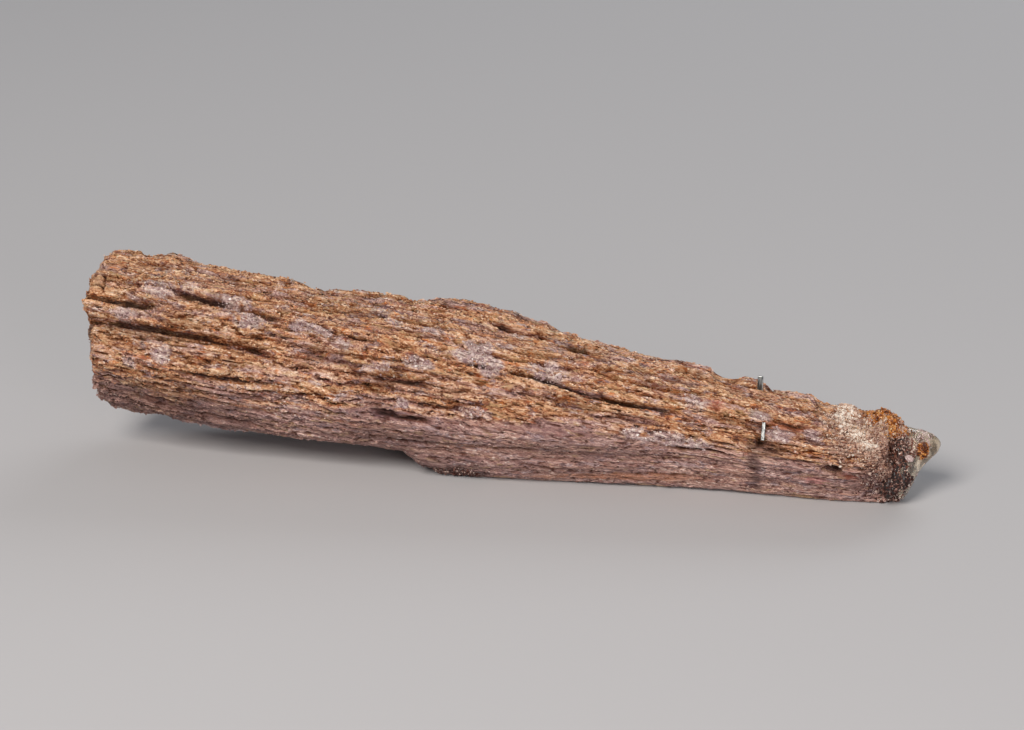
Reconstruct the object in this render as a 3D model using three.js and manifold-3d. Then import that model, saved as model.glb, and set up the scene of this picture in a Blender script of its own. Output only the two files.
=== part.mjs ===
// A rhabdophane crystal: a long tapering six-sided stick of fibrous, wood-like mineral, lying on one of
// its long faces, with a remnant of the clear quartz it grew in still on its thin end.
// Millimetres, +Z up. +X runs along the crystal to its thin end, and the crystal rests on Z = 0.
import * as THREE from 'three';
import { ConvexGeometry } from 'three/addons/geometries/ConvexGeometry.js';
import { mergeVertices } from 'three/addons/utils/BufferGeometryUtils.js';
import Module from 'manifold-3d';

// Driving dimensions. X = 0 is near the middle of the crystal's length.
const THICK_END_X = -31.2;      // broken face of the thick end
const THIN_END_X = 29.5;        // foot of the thin end's broken face
const THIN_END_Y = 0.2;         // middle of that face, along Y
const THIN_END_LEAN = 10;       // degrees that it leans back as it rises
const NOTCH_X = -6.5;           // thick side of this, the lower front edge has lost a layer
const NOTCH_LENGTH = 1.2;       // length of the step where the layer starts
const RING_SPACING = 1.35;      // distance between rings of faces along the crystal
const SIDE_COUNT = 42;          // faces round the crystal
const END_RINGS = 5;            // rings that close the thick end
const EDGE_SHARPNESS = 14;      // the higher this is, the sharper the crystal's long edges
const QUARTZ_GAP = 0.32;        // clearance between the quartz and the crystal
const CUTTER = 80;              // side of the block that makes a plane cut, larger than the crystal

const { degToRad, lerp, smoothstep } = THREE.MathUtils;

// A smooth curve through [x, value] pairs, level beyond its ends.
function profile(pairs) {
  const last = pairs.length - 1;
  const slope = (i) => {
    const [before, after] = [pairs[Math.max(i - 1, 0)], pairs[Math.min(i + 1, last)]];
    return (after[1] - before[1]) / (after[0] - before[0]);
  };
  return (x) => {
    if (x <= pairs[0][0]) return pairs[0][1];
    if (x >= pairs[last][0]) return pairs[last][1];
    const i = pairs.findIndex(([end]) => end > x) - 1;
    const [[fromX, from], [toX, to]] = [pairs[i], pairs[i + 1]];
    const span = toX - fromX;
    const t = (x - fromX) / span;
    const bend = span * t * (1 - t) * (slope(i) * (1 - t) - slope(i + 1) * t);
    return lerp(from, to, smoothstep(t, 0, 1)) + bend;
  };
}

// The crystal's axis falls from the thick end to the thin one, and sways a little along Y.
const axisHeight = profile([[-31, 8.6], [-24, 7.3], [-16, 6.4], [-8, 6.05], [0, 5.5], [8, 4.8],
  [16, 4.1], [24, 3.4], [31, 2.8]]);
const axisDepth = profile([[-31, -0.8], [-16, 0.3], [-8, 0.1], [0, -0.4], [16, -0.7], [24, -1.0],
  [28, -0.5], [31, 0.3]]);

// The layer lost from the lower front edge leaves a slanting face up to the notch. Beyond the notch that
// face is clear of the crystal.
const CLEAR = 3;
const lostLayer = profile([[-31, 5.7], [-16, 5.3], [NOTCH_X, 5.0], [31, 4.0]]);
const notchFace = (x) => lostLayer(x) + CLEAR * smoothstep(x, NOTCH_X, NOTCH_X + NOTCH_LENGTH);

// The six long faces and the notch's: the direction each one faces, in degrees from the back over the
// top, and its distance from the axis at each X.
const FACES = [
  { facing: 30, distance: profile([[-31, 5.6], [-16, 5.3], [0, 5.3], [8, 4.8], [16, 4.1], [31, 2.8]]) },
  { facing: 90, distance: profile([[-31, 5.6], [-24, 6.1], [-16, 6.0], [-8, 5.6], [0, 5.1], [16, 4.2],
    [31, 3.2]]) },
  { facing: 150, distance: profile([[-31, 5.3], [-24, 6.3], [-16, 6.7], [-8, 6.1], [0, 5.3], [8, 4.6],
    [16, 4.1], [31, 2.7]]) },
  { facing: 210, distance: profile([[-31, 5.6], [-16, 6.2], [-8, 5.9], [0, 5.1], [8, 3.9], [16, 2.9],
    [24, 2.3], [31, 2.1]]) },
  { facing: 247, distance: notchFace },
  { facing: 270, distance: profile([[-31, 5.3], [-24, 6.2], [-16, 6.6], [-8, 6.2], [0, 5.7], [8, 5.0],
    [16, 4.3], [24, 3.6], [31, 3.0]]) },
  { facing: 330, distance: profile([[-31, 4.5], [-24, 5.4], [-16, 5.9], [-8, 5.8], [0, 5.3], [8, 4.6],
    [16, 3.7], [31, 2.1]]) },
];

// Long splinters that stand proud of the faces, and long grooves, whose height is negative: the direction
// each one faces, how far it reaches to either side in degrees, and where it starts and ends.
const SPLINTERS = [
  { facing: 58, spread: 26, from: -6.2, to: 5, height: 1.0 },
  { facing: 112, spread: 20, from: -27, to: -12, height: 0.45 },
  { facing: 88, spread: 11, from: -1, to: 9, height: -0.4 },
  { facing: 125, spread: 10, from: -25, to: -13, height: -0.4 },
  { facing: 133, spread: 10, from: -32, to: -20, height: -0.45 },
  { facing: 152, spread: 11, from: -32, to: -13, height: -0.65 },
  { facing: 140, spread: 10, from: 3, to: 16, height: -0.4 },
  { facing: 210, spread: 10, from: -10, to: 12, height: -0.3 },
  { facing: 20, spread: 16, from: -26, to: -2, height: 0.5 },
  { facing: 340, spread: 14, from: -28, to: 4, height: -0.4 },
  { facing: 5, spread: 11, from: -10, to: 22, height: -0.45 },
];

// Shallow flutes along the whole crystal: how many go round it, how deep as a share of the distance to
// the axis, and how they turn along X.
const FLUTES = [
  { count: 5, depth: 0.012, start: 0.7, turn: 0.03 },
  { count: 13, depth: 0.010, start: 2.1, turn: -0.05 },
];

// How far round the crystal one direction is from another, in degrees from 0 to 180.
const between = (one, other) => Math.abs(((one - other + 540) % 360) - 180);

// Distance from the axis to the crystal's surface at an X, facing a direction in degrees.
function reach(x, facing) {
  const sum = FACES.reduce((total, face) => {
    const toward = Math.max(0, Math.cos(degToRad(facing - face.facing)));
    return total + (toward / face.distance(x)) ** EDGE_SHARPNESS;
  }, 0);
  const fluting = FLUTES.reduce(
    (total, f) => total + f.depth * Math.sin(f.count * degToRad(facing) + f.start + f.turn * x), 0);
  const splinters = SPLINTERS.reduce((total, s) => {
    const across = 1 - smoothstep(between(facing, s.facing), 0, s.spread);
    const along = smoothstep(x, s.from - 0.5, s.from + 0.8) * (1 - smoothstep(x, s.to - 5, s.to));
    return total + s.height * across * along;
  }, 0);
  return sum ** (-1 / EDGE_SHARPNESS) * (1 + fluting) + splinters;
}

// How far the thick end's broken face stands out at a point of it: the break leans in towards its foot,
// with a hollow in the middle of its front edge.
function breakRelief(y, z) {
  const lean = 0.07 * (z - 13);
  const hollow = -0.8 * Math.exp(-(((z - 8.4) / 1.1) ** 2)) * smoothstep(-y, 1, 6);
  const waves = 0.18 * Math.sin(1.3 * z + 0.6 * y) + 0.14 * Math.sin(2.1 * y - 0.9 * z + 1.0);
  return lean + hollow + waves;
}

// A point of a ring. share is 0 on the axis and 1 at the rim, and only the thick end's face is uneven.
function ringPoint(x, facing, share, unevenness) {
  const r = reach(x, facing) * share;
  const y = axisDepth(x) + r * Math.cos(degToRad(facing));
  const z = axisHeight(x) + r * Math.sin(degToRad(facing));
  return new THREE.Vector3(x - unevenness * breakRelief(y, z), y, z);
}

// A closed skin over rings of points, with one point at each end. The faces point outwards.
function skin(start, rings, end) {
  const points = [start, ...rings.flat(), end];
  const sides = rings[0].length;
  const at = (ring, side) => 1 + ring * sides + (side % sides);
  const last = rings.length - 1;
  const faces = [];
  for (let side = 0; side < sides; side += 1) {
    faces.push(0, at(0, side + 1), at(0, side));
    for (let ring = 0; ring < last; ring += 1) {
      faces.push(at(ring, side), at(ring, side + 1), at(ring + 1, side));
      faces.push(at(ring + 1, side), at(ring, side + 1), at(ring + 1, side + 1));
    }
    faces.push(points.length - 1, at(last, side), at(last, side + 1));
  }
  const geometry = new THREE.BufferGeometry();
  const positions = points.flatMap((point) => point.toArray());
  geometry.setAttribute('position', new THREE.Float32BufferAttribute(positions, 3));
  geometry.setIndex(faces);
  return geometry;
}

function crystalGeometry() {
  const ring = (x, share, unevenness) => Array.from({ length: SIDE_COUNT }, (_, side) =>
    ringPoint(x, (360 * side) / SIDE_COUNT, share, unevenness));
  const rings = [];
  for (let i = 1; i < END_RINGS; i += 1) rings.push(ring(THICK_END_X, i / END_RINGS, 1));
  rings.push(ring(THICK_END_X, 0.96, 1));
  const length = THIN_END_X + 2 - THICK_END_X;
  const count = Math.round(length / RING_SPACING);
  for (let i = 0; i < count; i += 1) {
    const x = THICK_END_X + 0.5 + (i / (count - 1)) * (length - 0.5);
    rings.push(ring(x, 1, i === 0 ? 0.8 : 0));
  }
  const tail = THICK_END_X + length;
  return skin(ringPoint(THICK_END_X, 0, 0, 1), rings, ringPoint(tail, 0, 0, 0));
}

const manifold = await Module();
manifold.setup();

// A geometry as a solid, placed by a matrix.
function solidOf(geometry, matrix = new THREE.Matrix4()) {
  const bare = new THREE.BufferGeometry();
  bare.setAttribute('position', geometry.getAttribute('position').clone());
  if (geometry.index) bare.setIndex(geometry.index);
  const merged = mergeVertices(bare.applyMatrix4(matrix), 1e-4);
  return new manifold.Manifold(new manifold.Mesh({
    numProp: 3,
    vertProperties: merged.getAttribute('position').array,
    triVerts: new Uint32Array(merged.index.array),
  }));
}

function geometryOf(solid) {
  const mesh = solid.getMesh();
  const geometry = new THREE.BufferGeometry();
  geometry.setAttribute('position', new THREE.BufferAttribute(mesh.vertProperties, 3));
  geometry.setIndex(new THREE.BufferAttribute(mesh.triVerts, 1));
  geometry.computeVertexNormals();
  return geometry;
}

// The thin end's face: in this frame +X points out of the face and +Z up along it.
const thinEnd = new THREE.Group();
thinEnd.position.set(THIN_END_X, THIN_END_Y, 0);
thinEnd.rotation.y = degToRad(-THIN_END_LEAN);
thinEnd.updateMatrix();

// The crystal is cut flat along the face it rests on and across its thin end.
function cutCrystal() {
  const block = new THREE.BoxGeometry(CUTTER, CUTTER, CUTTER);
  const below = new THREE.Matrix4().makeTranslation(0, 0, -CUTTER / 2);
  const beyond = thinEnd.matrix.clone().multiply(new THREE.Matrix4().makeTranslation(CUTTER / 2, 0, 0));
  const cut = solidOf(crystalGeometry())
    .subtract(solidOf(block, below))
    .subtract(solidOf(block, beyond));
  return geometryOf(cut);
}

const crystal = new THREE.Mesh(cutCrystal(), new THREE.MeshStandardMaterial({
  color: '#a9785a', roughness: 0.85, metalness: 0,
}));
crystal.name = 'rhabdophane_crystal';

// The quartz remnant is a broken shard. Its foot's corners are [across the face, up it], and its outer
// corners are [out of the face, across it, up it].
const QUARTZ_FOOT = [[-2.2, 1.0], [-1.2, 0.4], [0.6, 0.4], [1.9, 1.3], [2.4, 3.0], [1.9, 4.8],
  [0.6, 5.9], [-0.8, 5.8], [-2.0, 4.4], [-2.5, 2.6]];
const QUARTZ_CORNERS = [[1.1, -0.4, 5.7], [1.2, 0.9, 5.6], [2.4, 0.2, 5.0], [2.3, 1.3, 4.8],
  [3.0, 0.6, 4.4], [2.9, 1.4, 4.1], [3.25, 1.0, 3.7], [2.8, 0.4, 3.1], [1.9, 1.5, 2.3], [1.6, 0.0, 2.1],
  [1.1, 1.2, 1.3], [0.6, -1.3, 0.6]];

const quartz = new THREE.Mesh(
  new ConvexGeometry([
    ...QUARTZ_FOOT.map(([across, up]) => new THREE.Vector3(QUARTZ_GAP, across, up)),
    ...QUARTZ_CORNERS.map((corner) => new THREE.Vector3(...corner)),
  ]),
  new THREE.MeshStandardMaterial({ color: '#e9e2d2', roughness: 0.08, metalness: 0 }),
);
quartz.name = 'quartz_tip';
thinEnd.add(quartz);

// The origin is under the middle of the whole specimen.
const specimen = new THREE.Group().add(crystal, thinEnd);
const middle = new THREE.Box3().setFromObject(specimen).getCenter(new THREE.Vector3());
specimen.position.set(-middle.x, -middle.y, 0);

export default specimen;
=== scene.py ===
import math
from contextlib import contextmanager

import bpy
import numpy as np
from bpy.props import FloatProperty, FloatVectorProperty, IntProperty, PointerProperty
from mathutils import Matrix, Vector, noise
from mathutils.bvhtree import BVHTree


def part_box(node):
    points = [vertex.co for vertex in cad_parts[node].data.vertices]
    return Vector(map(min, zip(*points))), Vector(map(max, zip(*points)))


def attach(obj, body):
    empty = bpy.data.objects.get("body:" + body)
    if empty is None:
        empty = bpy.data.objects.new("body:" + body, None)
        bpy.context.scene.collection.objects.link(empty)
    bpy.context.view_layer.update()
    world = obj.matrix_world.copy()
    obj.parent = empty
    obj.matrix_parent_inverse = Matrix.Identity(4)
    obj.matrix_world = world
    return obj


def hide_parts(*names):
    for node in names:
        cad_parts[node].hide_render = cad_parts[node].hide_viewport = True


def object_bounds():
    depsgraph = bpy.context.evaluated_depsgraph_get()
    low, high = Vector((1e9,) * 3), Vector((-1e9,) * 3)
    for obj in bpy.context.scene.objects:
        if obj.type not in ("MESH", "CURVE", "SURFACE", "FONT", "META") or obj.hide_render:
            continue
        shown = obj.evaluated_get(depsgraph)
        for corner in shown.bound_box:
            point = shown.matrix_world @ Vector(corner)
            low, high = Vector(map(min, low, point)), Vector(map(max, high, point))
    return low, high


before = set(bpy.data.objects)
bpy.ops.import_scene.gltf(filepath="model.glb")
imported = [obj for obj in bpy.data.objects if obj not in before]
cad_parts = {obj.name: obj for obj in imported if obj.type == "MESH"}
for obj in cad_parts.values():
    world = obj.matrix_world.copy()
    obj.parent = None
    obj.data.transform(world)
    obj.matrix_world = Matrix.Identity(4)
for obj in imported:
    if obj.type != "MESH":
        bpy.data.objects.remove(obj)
CAD_BOX = [list(corner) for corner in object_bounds()]

bl_info = {
    "name": "Rhabdophane Specimen",
    "version": (1, 0, 0),
    "blender": (4, 5, 0),
    "location": "View3D > Sidebar > Specimen",
    "description": "A tapering crystal of fibrous rhabdophane with the quartz that grew on it",
    "category": "Add Mesh",
}

MM = 0.001                       # sizes in this file are in millimetres
CRYSTAL = "rhabdophane_crystal"
QUARTZ = "quartz_tip"
LOW_X, HIGH_X = (corner[0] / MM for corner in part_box(CRYSTAL))
RESTING_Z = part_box(CRYSTAL)[0][2] / MM

# Where things are on the crystal. X runs along it, from its thick end to its thin end. A facing is a
# direction round it in degrees: 0 is +Y at the back, 90 is up, 180 is -Y at the front, 270 is down.

# The line that the fibres run round: X, Y, Z.
AXIS = np.array([
    (-33.0, -0.6, 8.7), (-24.6, -0.1, 7.3), (-16.6, 0.5, 6.4), (-8.6, 0.3, 6.05), (-0.6, -0.2, 5.5),
    (7.4, -0.3, 4.8), (15.4, -0.5, 4.1), (23.4, -0.8, 3.4), (27.4, -0.3, 3.1), (31.0, 0.5, 2.8),
])
CAP_DEPTH = 2.6                  # how far inside an end the rays stand that find its broken face
THICK_RADIUS, THIN_RADIUS = 7.0, 3.0
GRAIN_RADIUS = 6.0               # the facing is wrapped on this radius, so that the fibres taper
THICK_RINGS, THIN_RINGS = 0.15, 0.085    # the shares of all rings that lie on the two broken ends
BASE_PASSES = 3                  # how often each ring's points are evened out: all along the crystal,
END_PASSES = 70                  # then on the thick end, whose few broad CAD faces would show as rays,
CAP_PASSES = 60                  # and, at most, the relief of both ends, where a ring's points lie close

# Long grooves between bundles of fibres, with painted shade in each: width, depth, and the X and facing of
# points along each.
GROOVES = [
    (0.45, 0.45, (-32.4, 130), (-27.5, 130), (-25.2, 130)),
    (0.48, 0.55, (-25.6, 115), (-22.6, 120), (-18.4, 125), (-15.2, 128)),
    (0.50, 0.65, (-32.4, 148), (-29.0, 147), (-26.0, 145), (-22.0, 146), (-18.6, 150), (-16.4, 153)),
    (0.40, 0.40, (-11.2, 98), (-8.5, 104), (-6.2, 108)),
    (0.34, 0.40, (-6.4, 73), (-3.6, 75)),
    (0.30, 0.40, (-8.2, 132), (-5.4, 132)),
    (0.35, 0.35, (-9.8, 157), (-3.6, 156)),
    (0.55, 0.30, (-10.0, 179), (-6.2, 182), (-4.0, 181)),
    (0.26, 0.42, (-8.6, 209), (-4.6, 205), (3.4, 206)),
    (0.30, 0.35, (-3.8, 136), (0.6, 134)),
    (0.30, 0.40, (-2.6, 79), (0.5, 80), (3.8, 83)),
    (0.36, 0.50, (3.0, 84), (5.5, 88), (8.6, 97)),
    (0.34, 0.40, (6.6, 78), (11.0, 88)),
    (0.30, 0.70, (0.2, 134), (3.6, 135), (6.6, 140), (10.4, 140), (13.8, 139)),
    (0.28, 0.35, (1.0, 221), (5.3, 230), (9.0, 234), (14.4, 234)),
    (0.34, 0.42, (11.2, 84), (14.0, 88), (17.0, 93)),
    (0.36, 0.45, (14.8, 99), (17.0, 103), (18.6, 101)),
    (0.26, 0.35, (11.8, 181), (15.4, 174), (17.8, 178)),
    (0.30, 0.45, (19.2, 127), (20.9, 130), (23.2, 130)),
    (0.26, 0.35, (18.6, 154), (20.6, 155)),
    (0.24, 0.30, (21.0, 171), (23.8, 168)),
    (0.55, 0.45, (-29.0, 62), (-4.0, 60)),
    (0.60, 0.55, (-14.0, 20), (17.0, 24)),
    (0.65, 0.55, (-27.0, 343), (3.0, 341)),
    (0.45, 0.45, (-6.0, 2), (24.0, 5)),
    (0.45, 0.35, (-20.0, 318), (12.0, 316)),
    (0.35, 0.35, (4.0, 330), (26.0, 334)),
    (0.55, 0.50, (-31.0, 38), (-12.0, 41)),
]

# Small deep holes, painted dark inside as shade: X, facing, length, width, depth.
HOLES = [
    (-29.9, 131, 0.8, 0.24, 0.4), (-28.3, 159, 1.0, 0.22, 0.4), (-26.9, 155, 0.7, 0.18, 0.3),
    (-27.4, 118, 0.5, 0.18, 0.3), (-28.7, 190, 1.4, 0.24, 0.3), (-30.3, 117, 0.2, 1.8, 0.4),
    (-18.2, 141, 1.3, 0.30, 0.5), (-15.0, 158, 0.6, 0.30, 0.6), (-14.3, 177, 0.9, 0.18, 0.3),
    (-13.2, 129, 0.5, 0.30, 0.6), (-13.9, 136, 0.5, 0.22, 0.5), (-10.6, 132, 1.4, 0.30, 0.6),
    (-9.7, 163, 0.8, 0.26, 0.6), (-11.5, 177, 1.1, 0.24, 0.4), (-8.0, 178, 1.4, 0.28, 0.3),
    (-6.2, 183, 1.8, 0.28, 0.3), (1.6, 134, 0.6, 0.34, 1.1), (-0.3, 170, 0.5, 0.22, 0.5),
    (0.2, 184, 0.9, 0.16, 0.4), (10.1, 161, 0.5, 0.22, 0.6), (11.1, 165, 0.5, 0.36, 0.8),
    (11.0, 196, 0.4, 0.20, 0.5), (13.8, 220, 0.3, 0.20, 0.4), (14.4, 217, 0.3, 0.18, 0.4),
    (24.15, 178, 1.3, 0.85, 1.2), (18.9, 155, 0.5, 1.1, 0.7),
    (-12.0, 30, 1.4, 0.4, 0.7), (5.0, 350, 1.0, 0.4, 0.7), (14.0, 12, 0.9, 0.35, 0.6),
]

# Broad dents in the shape, or swellings where the depth is negative: X, facing, length, width, depth.
DENTS = [
    (-32.4, 88, 3.6, 12.0, 0.6), (-31.6, 139, 3.6, 3.4, -0.55), (-31.9, 172, 4.0, 8.5, 1.3),
    (-26.6, 70, 4.0, 4.0, -0.45), (-26.4, 248, 4.0, 4.0, 0.35), (-24.0, 250, 5.0, 4.0, 0.3),
    (-19.0, 244, 5.0, 4.0, 0.2), (-15.0, 68, 6.5, 5.0, 0.6), (-14.0, 248, 9.0, 4.0, 0.3),
    (-11.5, 246, 5.0, 4.0, 0.4), (-6.2, 246, 3.0, 4.0, 0.35), (0.6, 66, 3.0, 4.0, 0.4),
    (9.5, 66, 5.0, 3.0, 0.3), (15.7, 70, 3.6, 4.4, 0.75), (19.4, 68, 2.8, 4.4, 0.5),
    (20.6, 72, 4.0, 3.0, 0.3), (23.1, 74, 2.6, 3.6, 1.25), (24.4, 84, 3.4, 4.0, 0.55),
    (25.8, 100, 5.0, 5.0, 0.5), (26.0, 78, 3.0, 4.0, 0.7), (25.5, 189, 1.4, 0.8, 0.2),
    (27.85, 70, 1.0, 1.8, 0.95),
]

# Patches where quartz shows among the fibres: X, facing, length, width, strength.
QUARTZ_PATCHES = [
    (-26.4, 95, 1.6, 1.0, 0.6), (-26.0, 118, 2.6, 1.2, 0.7), (-23.8, 113, 1.6, 0.8, 0.5),
    (-20.2, 120, 2.6, 1.4, 0.6), (-19.0, 131, 2.2, 1.1, 0.9), (-15.0, 130, 2.0, 0.8, 1.0),
    (-13.4, 132, 1.8, 0.8, 0.9), (-11.8, 137, 1.4, 0.9, 0.7), (-25.0, 162, 2.0, 1.1, 0.8),
    (-27.4, 173, 1.0, 0.8, 0.7), (-6.9, 171, 0.8, 0.6, 1.0), (-8.4, 110, 1.6, 0.9, 0.6),
    (-5.4, 112, 1.6, 0.7, 0.7), (-1.8, 119, 2.2, 1.1, 1.0), (-0.8, 133, 1.8, 1.4, 1.0),
    (-2.4, 129, 2.4, 0.9, 1.0), (-6.0, 142, 2.2, 0.8, 0.8), (-1.6, 171, 3.2, 0.7, 0.6),
    (3.4, 128, 2.6, 1.3, 0.7), (10.4, 168, 2.4, 0.9, 0.9), (12.6, 167, 2.8, 1.0, 0.9),
    (14.4, 169, 1.8, 0.9, 0.9), (14.2, 128, 1.8, 1.1, 0.6), (18.8, 128, 1.6, 0.8, 0.6),
    (20.4, 142, 1.8, 0.9, 0.8), (22.7, 136, 1.6, 0.7, 0.7), (-28.3, 139, 2.2, 0.9, 0.6),
    (-9.8, 98, 1.4, 0.8, 0.5), (0.5, 85, 1.4, 0.8, 0.4), (-9.0, 150, 2.4, 1.0, 0.5),
    (-23.6, 240, 4.0, 1.0, 0.6), (-20.0, 238, 2.4, 0.8, 0.5), (-22.0, 25, 3.0, 1.6, 0.8),
    (-8.0, 5, 2.6, 1.3, 0.8), (6.0, 30, 2.2, 1.2, 0.8), (16.0, 355, 2.6, 1.2, 0.8),
    (-15.0, 335, 3.0, 1.4, 0.7), (24.0, 20, 2.0, 1.2, 0.8),
]

# Stained patches of the surface, and some patches of painted shade: X, facing, length, width, colour,
# strength.
STAINS_AND_SHADE = [
    (-8.0, 180, 6.0, 1.6, "#5F4450", 0.75),
    (-12.0, 186, 9.0, 1.4, "#6B4A50", 0.5),
    (4.0, 178, 9.0, 1.2, "#7A5558", 0.5),
    (-3.8, 240, 6.4, 3.0, "#381D19", 1.0),
    # Painted shade: these three broad dark patches darken the crystal low on its front.
    (-24.0, 218, 18.0, 9.0, "#523530", 0.85),
    (-8.0, 218, 14.0, 7.0, "#5E403A", 0.7),
    (5.0, 214, 14.0, 6.0, "#6E4E48", 0.55),
    (8.0, 240, 14.0, 0.9, "#B4744E", 0.8),
    (19.3, 161, 3.4, 1.3, "#64473E", 0.95),
    (18.6, 190, 1.0, 4.6, "#452826", 1.0),
    (18.6, 225, 0.9, 4.0, "#452826", 0.95),
    (20.6, 133, 4.6, 1.0, "#B0612C", 0.8),
    (23.0, 213, 1.8, 1.0, "#B06A6A", 0.7),
    (24.3, 207, 0.8, 0.6, "#5A3A38", 0.8),
    (25.5, 189, 1.7, 0.95, "#7E2F1C", 1.0),
    (24.8, 184, 1.1, 0.5, "#7A4A30", 0.9),
    (18.97, 127, 1.8, 1.0, "#5A4448", 0.9),
    (-30.9, 117, 0.8, 1.8, "#C9A98A", 0.6),
    # Painted shade on the thick end's face.
    (-31.2, 158, 1.0, 2.2, "#3A2A28", 0.8),
    (-28.0, 131, 5.0, 0.7, "#565049", 0.7),
    (-22.0, 119, 4.0, 0.8, "#4C3F4A", 0.7),
    (15.6, 126, 1.4, 1.0, "#B4554E", 0.5),
    (27.6, 185, 3.0, 6.0, "#553634", 0.85),
    (28.6, 150, 2.0, 6.0, "#5C3B36", 0.7),
    (26.6, 215, 4.0, 2.0, "#6E4A44", 0.6),
    (24.6, 148, 1.6, 1.6, "#8A7072", 0.6),
    (-27.0, 150, 8.0, 0.8, "#4A3A34", 0.6),
    (-21.5, 122, 5.0, 0.8, "#56424A", 0.6),
    (25.4, 108, 4.4, 3.4, "#DCC3A8", 0.85),
    (26.4, 132, 3.4, 2.6, "#C9AA98", 0.7),
    # Painted shade: darker low on the front by the thick end.
    (-23.0, 200, 14.0, 3.0, "#8A6659", 0.5),
    (-18.0, 20, 9.0, 2.0, "#7A5558", 0.5),
    (3.0, 345, 12.0, 2.4, "#7A5558", 0.5),
]

# Patches of the coats by the thin end: X, facing, length, width, strength. They are the cream part of
# the crust, the rest of the crust, the iron-stained grains on the shoulder, and the dark druse.
CREAM_PATCHES = [
    (24.6, 74, 3.2, 3.2, 0.9), (24.1, 88, 3.0, 3.0, 1.0), (25.0, 108, 2.6, 2.0, 1.0),
    (25.8, 124, 2.4, 1.8, 1.0), (26.6, 137, 2.0, 1.6, 0.9),
]
CRUST_PATCHES = [
    (25.4, 112, 5.4, 6.0, 0.8), (27.2, 128, 4.0, 5.0, 1.0), (25.2, 142, 3.4, 2.6, 0.5),
    (27.8, 100, 2.4, 4.0, 0.8), (24.6, 160, 3.0, 1.6, 0.15),
]
HONEY_PATCHES = [(27.5, 82, 2.0, 3.2, 1.0), (28.3, 100, 1.4, 2.6, 0.8), (28.2, 122, 1.8, 2.0, 0.5)]
DRUSE_BY_THE_END = [(27.2, 200, 2.6, 5.0, 1.0)]
DRUSE_UNDERNEATH = [(-3.7, 239, 5.4, 2.0, 2.5)]

# How many grains each coat has, on the crystal and on the quartz pieces of its thin end.
CRUST_ON_CRYSTAL, CRUST_ON_RIM, CRUST_ON_BASE = 7300, 1700, 700
DRUSE_ON_CRYSTAL, DRUSE_ON_BASE, DRUSE_ON_TIP = 2900, 2600, 700
HONEY_ON_RIM, HONEY_IN_TIP, HONEY_ON_CRYSTAL = 1300, 300, 750
MILKY_ON_TIP, MILKY_ON_KNOT = 260, 120

# Usual widths of the grains, and how far the sealed ones reach out into the clear quartz.
CRUST_GRAIN, DRUSE_GRAIN, HONEY_GRAIN, MILKY_GRAIN = 0.145, 0.13, 0.15, 0.13
SEALED_DEPTH = 0.13

# Rounded broken lumps: centre, radii, slope down to +X in degrees, and the seed of the breaks.
LUMPS = {
    "honey_inclusion": ((30.22, 0.05, 4.02), (0.46, 0.42, 0.58), 10, 3),
    "honey_rim": ((27.66, 0.40, 5.42), (1.70, 1.55, 0.92), 27, 4),
    "druse_base": ((28.36, -0.30, 2.88), (1.36, 1.78, 2.70), 0, 6),
    "milky_knot": ((29.46, -1.34, 3.95), (0.34, 0.15, 0.20), 14, 8),
}

# The two metal laths: middle, size, and lean in degrees.
LATHS = [((18.38, 0.0, 7.85), (0.40, 0.16, 1.9), 8), ((19.2, -3.9, 6.2), (0.24, 0.24, 1.3), 24)]

# The lights: name, place and size in metres, power as a share of the key light's, and colour.
LIGHTS = [
    ("key", (-0.08, -0.30, 0.30), 0.18, 1.0, "#FFF6EC"),
    ("fill", (0.16, -0.22, 0.05), 0.12, 0.16, "#FFF4F0"),
    ("rim", (0.10, 0.32, 0.24), 0.20, 0.22, "#FFFFFF"),
]
FLOOR_SIZE = 6.0                      # in metres
AIM_FROM_MIDDLE = (0.25, 0.0, 1.0)    # what the camera looks at, from the middle of the frame's box

SPLINTER, CHIP, POINTED_CHIP = (0.16, 1), (0.18, 5), (0.18, 9)    # raggedness and seed of each spindle
SPLINTER_SEED, QUARTZ_SEED, HONEY_SEED, MILKY_SEED, COAT_SEED = 7, 11, 29, 31, 23
QUARTZ_IOR = 1.545


def linear(text):
    """An sRGB hex colour as the linear red, green, blue and alpha that Blender's nodes take."""
    parts = [int(text[i:i + 2], 16) / 255 for i in (1, 3, 5)]
    return (*(p / 12.92 if p <= 0.04045 else ((p + 0.055) / 1.055) ** 2.4 for p in parts), 1.0)


def smoothstep(low, high, value):
    """0 before low and 1 past high, with an even curve between. It falls where high is the smaller."""
    t = np.clip((value - low) / (high - low), 0, 1)
    return t * t * (3 - 2 * t)


def unit(vectors):
    """Vectors of length one, a row each."""
    return vectors / np.linalg.norm(vectors, axis=1)[:, None]


def summed(rings, reach):
    """Each point's value added to those of its neighbours round the ring, up to reach away."""
    return sum(np.roll(rings, k, 1) for k in range(-reach, reach + 1))


def neighbours(rings):
    """The mean of each point's two neighbours round the ring."""
    return 0.5 * (np.roll(rings, 1, 1) + np.roll(rings, -1, 1))


def streaks(points, length, width, seed):
    """Perlin noise, from about -0.7 to 0.7, with features that long along the grain and that wide across."""
    moved = points / (length, width, width) + np.array([13.7, 41.3, 27.1]) * seed
    return np.array([noise.noise(p) for p in moved.tolist()])


def cells(points, length, width, seed):
    """For each point, its Voronoi cell's own value from 0 to 1, and how near the cell's edge is."""
    moved = points / (length, width, width) + np.array([19.1, 7.7, 33.3]) * seed
    value = np.empty(len(moved))
    edge = np.empty(len(moved))
    for i, point in enumerate(moved.tolist()):
        distances, seeds = noise.voronoi(point)
        value[i] = noise.cell(seeds[0] * 37.0)
        edge[i] = distances[1] - distances[0]
    return value, edge


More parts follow.
